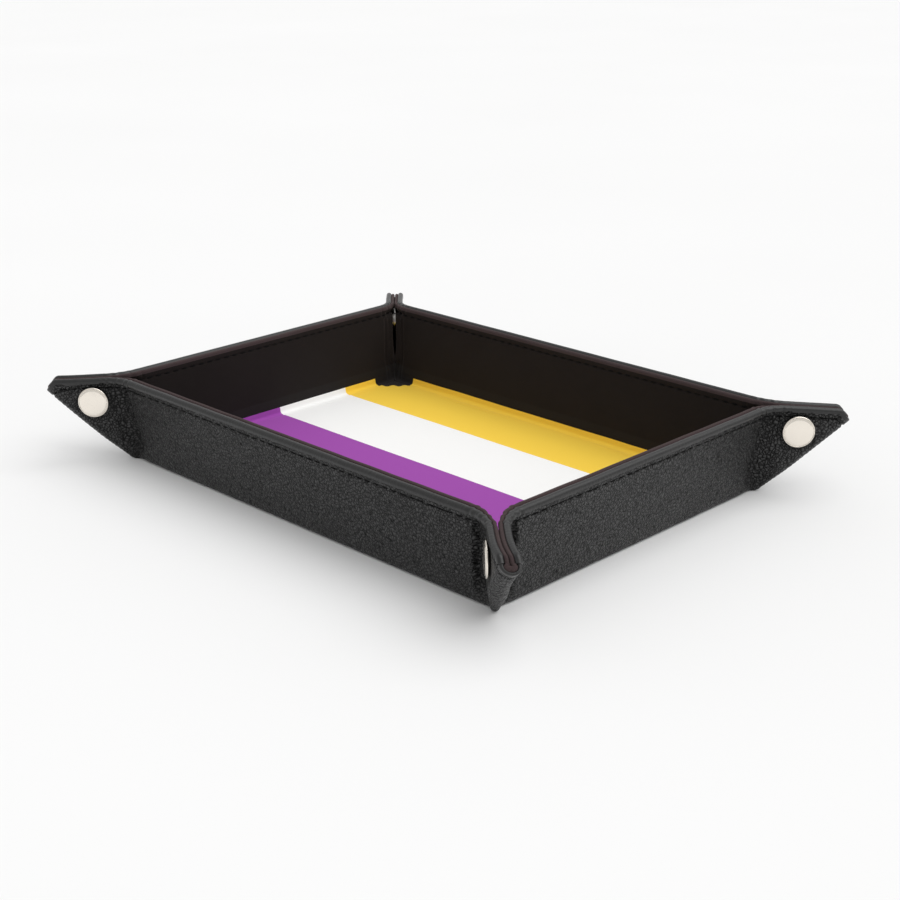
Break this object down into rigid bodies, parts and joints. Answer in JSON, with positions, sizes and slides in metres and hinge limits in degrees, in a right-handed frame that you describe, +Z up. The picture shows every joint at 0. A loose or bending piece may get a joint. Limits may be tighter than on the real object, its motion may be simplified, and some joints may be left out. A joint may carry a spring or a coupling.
{
  "type": "folding dice tray",
  "caption": "Leather tray for rolling dice: walls stiffened with board fold flat when the corner snaps are opened.",
  "frame": {"origin": "under the middle of the floor, on the surface that the tray stands on", "axes": "+X along the long side, +Y along the short side towards the back wall, +Z up out of the tray"},
  "size_m": [0.244, 0.19, 0.0345],
  "materials": {
    "leather": "pebbled, semi-matte",
    "lining": "microfibre suede, matte",
    "printed_lining": "microfibre suede printed in four stripes, matte",
    "board": "grey board, matte",
    "snap_metal": "polished nickel",
    "spring_wire": "drawn wire",
    "thread": "twisted thread"
  },
  "bodies": {
    "base": {"base_cover": "leather", "base_board": "board", "floor_lining": "printed_lining", "front_fold_strip": "leather", "right_fold_strip": "leather", "back_fold_strip": "leather", "left_fold_strip": "leather"},
    "front_wall": {"front_wall_cover": "leather", "front_wall_board": "board", "front_wall_lining": "lining", "front_wall_stitching": "thread"},
    "right_wall": {"right_wall_cover": "leather", "right_wall_board": "board", "right_wall_lining": "lining", "right_wall_stitching": "thread"},
    "back_wall": {"back_wall_cover": "leather", "back_wall_board": "board", "back_wall_lining": "lining", "back_wall_stitching": "thread"},
    "left_wall": {"left_wall_cover": "leather", "left_wall_board": "board", "left_wall_lining": "lining", "left_wall_stitching": "thread"},
    "front_wall_left_flap": {"front_wall_left_flap_cover": "leather", "front_wall_left_flap_lining": "lining", "front_left_snap_cap": "snap_metal", "front_left_snap_socket": "snap_metal", "front_left_snap_spring": "spring_wire"},
    "front_wall_right_flap": {"front_wall_right_flap_cover": "leather", "front_wall_right_flap_lining": "lining", "front_right_snap_cap": "snap_metal", "front_right_snap_socket": "snap_metal", "front_right_snap_spring": "spring_wire"},
    "right_wall_front_flap": {"right_wall_front_flap_cover": "leather", "right_wall_front_flap_lining": "lining", "front_right_snap_back_cap": "snap_metal", "front_right_snap_stud": "snap_metal"},
    "right_wall_back_flap": {"right_wall_back_flap_cover": "leather", "right_wall_back_flap_lining": "lining", "back_right_snap_back_cap": "snap_metal", "back_right_snap_stud": "snap_metal"},
    "back_wall_right_flap": {"back_wall_right_flap_cover": "leather", "back_wall_right_flap_lining": "lining", "back_right_snap_cap": "snap_metal", "back_right_snap_socket": "snap_metal", "back_right_snap_spring": "spring_wire"},
    "back_wall_left_flap": {"back_wall_left_flap_cover": "leather", "back_wall_left_flap_lining": "lining", "back_left_snap_cap": "snap_metal", "back_left_snap_socket": "snap_metal", "back_left_snap_spring": "spring_wire"},
    "left_wall_back_flap": {"left_wall_back_flap_cover": "leather", "left_wall_back_flap_lining": "lining", "back_left_snap_back_cap": "snap_metal", "back_left_snap_stud": "snap_metal"},
    "left_wall_front_flap": {"left_wall_front_flap_cover": "leather", "left_wall_front_flap_lining": "lining", "front_left_snap_back_cap": "snap_metal", "front_left_snap_stud": "snap_metal"}
  },
  "joints": [
    {"name": "front_wall_fold", "type": "hinge", "parent": "base", "child": "front_wall", "pos_m": [0, -0.0705, 0], "axis": [1, 0, 0], "range_deg": [0, 80.3], "deforming": ["front_fold_strip"]},
    {"name": "right_wall_fold", "type": "hinge", "parent": "base", "child": "right_wall", "pos_m": [0.0975, 0, 0], "axis": [0, 1, 0], "range_deg": [0, 80.3], "deforming": ["right_fold_strip"]},
    {"name": "back_wall_fold", "type": "hinge", "parent": "base", "child": "back_wall", "pos_m": [0, 0.0705, 0], "axis": [-1, 0, 0], "range_deg": [0, 80.3], "deforming": ["back_fold_strip"]},
    {"name": "left_wall_fold", "type": "hinge", "parent": "base", "child": "left_wall", "pos_m": [-0.0975, 0, 0], "axis": [0, -1, 0], "range_deg": [0, 80.3], "deforming": ["left_fold_strip"]},
    {"name": "front_wall_left_flap_fold", "type": "hinge", "parent": "front_wall", "child": "front_wall_left_flap", "pos_m": [-0.09283, -0.0705, 0], "axis": [0.1496, 0.1496, -0.9774], "range_deg": [0, 45.2], "deforming": ["front_left_snap_spring"]},
    {"name": "front_wall_right_flap_fold", "type": "hinge", "parent": "front_wall", "child": "front_wall_right_flap", "pos_m": [0.09283, -0.0705, 0], "axis": [0.1496, -0.1496, 0.9774], "range_deg": [0, 45.2], "deforming": ["front_right_snap_spring"]},
    {"name": "right_wall_front_flap_fold", "type": "hinge", "parent": "right_wall", "child": "right_wall_front_flap", "pos_m": [0.0975, -0.06583, 0], "axis": [-0.1496, 0.1496, -0.9774], "range_deg": [0, 45.2]},
    {"name": "right_wall_back_flap_fold", "type": "hinge", "parent": "right_wall", "child": "right_wall_back_flap", "pos_m": [0.0975, 0.06583, 0], "axis": [0.1496, 0.1496, 0.9774], "range_deg": [0, 45.2]},
    {"name": "back_wall_right_flap_fold", "type": "hinge", "parent": "back_wall", "child": "back_wall_right_flap", "pos_m": [0.09283, 0.0705, 0], "axis": [-0.1496, -0.1496, -0.9774], "range_deg": [0, 45.2], "deforming": ["back_right_snap_spring"]},
    {"name": "back_wall_left_flap_fold", "type": "hinge", "parent": "back_wall", "child": "back_wall_left_flap", "pos_m": [-0.09283, 0.0705, 0], "axis": [-0.1496, 0.1496, 0.9774], "range_deg": [0, 45.2], "deforming": ["back_left_snap_spring"]},
    {"name": "left_wall_back_flap_fold", "type": "hinge", "parent": "left_wall", "child": "left_wall_back_flap", "pos_m": [-0.0975, 0.06583, 0], "axis": [0.1496, -0.1496, -0.9774], "range_deg": [0, 45.2]},
    {"name": "left_wall_front_flap_fold", "type": "hinge", "parent": "left_wall", "child": "left_wall_front_flap", "pos_m": [-0.0975, -0.06583, 0], "axis": [-0.1496, -0.1496, 0.9774], "range_deg": [0, 45.2]}
  ],
  "couplings": [
    {"joint": "right_wall_fold", "follows": "front_wall_fold", "ratio": 1},
    {"joint": "back_wall_fold", "follows": "front_wall_fold", "ratio": 1},
    {"joint": "left_wall_fold", "follows": "front_wall_fold", "ratio": 1},
    {"joint": "front_wall_left_flap_fold", "follows": "front_wall_fold", "ratio": 0.56157},
    {"joint": "front_wall_right_flap_fold", "follows": "front_wall_fold", "ratio": 0.56157},
    {"joint": "right_wall_front_flap_fold", "follows": "front_wall_fold", "ratio": 0.56157},
    {"joint": "right_wall_back_flap_fold", "follows": "front_wall_fold", "ratio": 0.56157},
    {"joint": "back_wall_right_flap_fold", "follows": "front_wall_fold", "ratio": 0.56157},
    {"joint": "back_wall_left_flap_fold", "follows": "front_wall_fold", "ratio": 0.56157},
    {"joint": "left_wall_back_flap_fold", "follows": "front_wall_fold", "ratio": 0.56157},
    {"joint": "left_wall_front_flap_fold", "follows": "front_wall_fold", "ratio": 0.56157}
  ]
}
